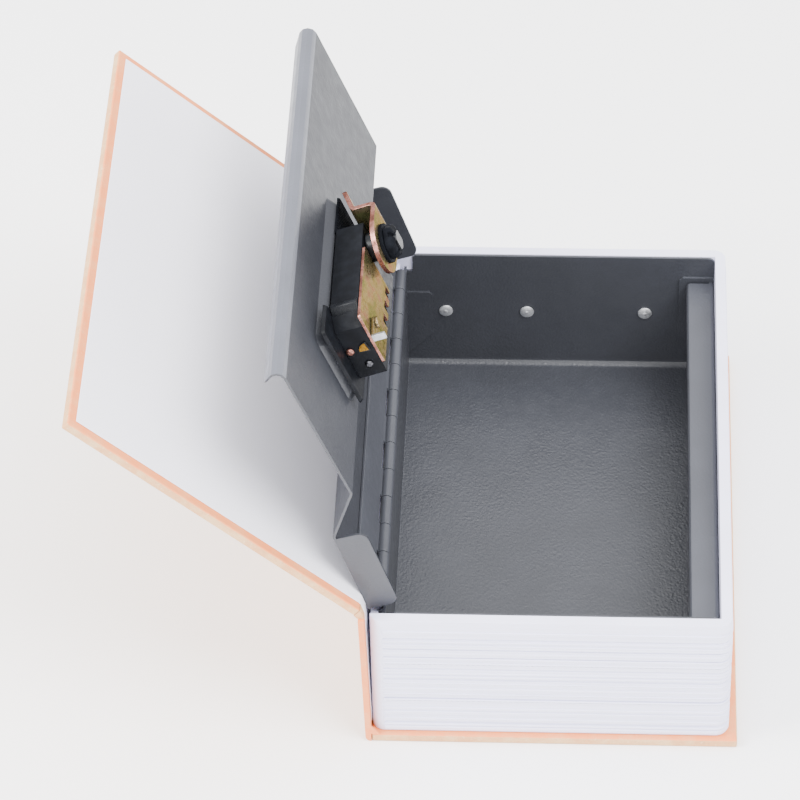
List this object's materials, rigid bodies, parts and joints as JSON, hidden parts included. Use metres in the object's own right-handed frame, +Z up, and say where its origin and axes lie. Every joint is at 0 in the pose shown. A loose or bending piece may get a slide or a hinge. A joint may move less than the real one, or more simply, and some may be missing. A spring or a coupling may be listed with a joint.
{
  "type": "book diversion safe",
  "caption": "Hollow book whose page block holds a folded steel box with a hinged steel lid, combination lock and cam latch.",
  "frame": {"origin": "centre of the back board's underside, which the book lies on", "axes": "+Z up off the back board, +Y from the tail to the head of the book along the spine, +X from the spine to the fore edge"},
  "size_m": [0.2027, 0.178, 0.1491],
  "materials": {
    "cover_paper": "printed paper over greyboard",
    "endpaper": "plain white",
    "page_plastic": "moulded, page edges",
    "grey_coat": "hammered powder coat",
    "bright_steel": "zinc plated",
    "wheel_metal": "die cast, brass toned",
    "black_plastic": "moulded",
    "yellow_zinc": "yellow passivated zinc",
    "dark_steel": "blackened",
    "rivet_aluminium": "plain"
  },
  "bodies": {
    "book": {"back_board": "cover_paper", "spine_board": "cover_paper", "page_frame": "page_plastic", "steel_box": "grey_coat", "hinge_box_leaf": "grey_coat", "hinge_pin": "bright_steel", "rivet_head_1": "rivet_aluminium", "rivet_head_2": "rivet_aluminium", "rivet_head_3": "rivet_aluminium", "rivet_tail_1": "rivet_aluminium", "rivet_tail_2": "rivet_aluminium", "rivet_tail_3": "rivet_aluminium"},
    "cover": {"front_board": "cover_paper", "front_endpaper": "endpaper", "cover_joint": "cover_paper"},
    "lid": {"lid_panel": "grey_coat", "hinge_lid_leaf": "grey_coat", "lock_foot": "black_plastic", "lock_housing": "black_plastic", "lock_plate": "yellow_zinc", "lock_bezel": "black_plastic", "wheel_spindle": "bright_steel", "lever_pivot": "bright_steel", "housing_screw_1": "bright_steel", "housing_screw_2": "bright_steel"},
    "lock_turn": {"lock_shaft": "bright_steel", "turn_knob": "black_plastic", "cam_latch": "yellow_zinc", "cam_washer": "dark_steel", "cam_nut": "dark_steel"},
    "wheel_1": {"dial_wheel_1": "wheel_metal"},
    "wheel_2": {"dial_wheel_2": "wheel_metal"},
    "wheel_3": {"dial_wheel_3": "wheel_metal"},
    "lever": {"reset_lever": "bright_steel"}
  },
  "joints": [
    {"name": "cover_hinge", "type": "hinge", "parent": "book", "child": "cover", "pos_m": [-0.059, 0, 0.0549], "axis": [0, -1, 0], "range_deg": [-137.5, 0]},
    {"name": "lid_hinge", "type": "hinge", "parent": "book", "child": "lid", "pos_m": [-0.054, 0, 0.0492], "axis": [0, -1, 0], "range_deg": [-108.06, 0.01]},
    {"name": "knob_turn", "type": "hinge", "parent": "lid", "child": "lock_turn", "pos_m": [-0.05599, -0.0038, 0.13161], "axis": [0.9317, 0, 0.3633], "range_deg": [0, 90]},
    {"name": "wheel_1_spin", "type": "hinge", "parent": "lid", "child": "wheel_1", "pos_m": [-0.06482, -0.0242, 0.12151], "axis": [0, 1, 0], "continuous": true},
    {"name": "wheel_2_spin", "type": "hinge", "parent": "lid", "child": "wheel_2", "pos_m": [-0.06482, -0.018, 0.12151], "axis": [0, 1, 0], "continuous": true},
    {"name": "wheel_3_spin", "type": "hinge", "parent": "lid", "child": "wheel_3", "pos_m": [-0.06482, -0.0118, 0.12151], "axis": [0, 1, 0], "continuous": true},
    {"name": "reset_swing", "type": "hinge", "parent": "lid", "child": "lever", "pos_m": [-0.05561, -0.0348, 0.12789], "axis": [-0.9317, 0, -0.3633], "range_deg": [0, 30]}
  ],
  "couplings": [
    {"joint": "lid_hinge", "follows": "cover_hinge", "ratio": 0.78582}
  ]
}
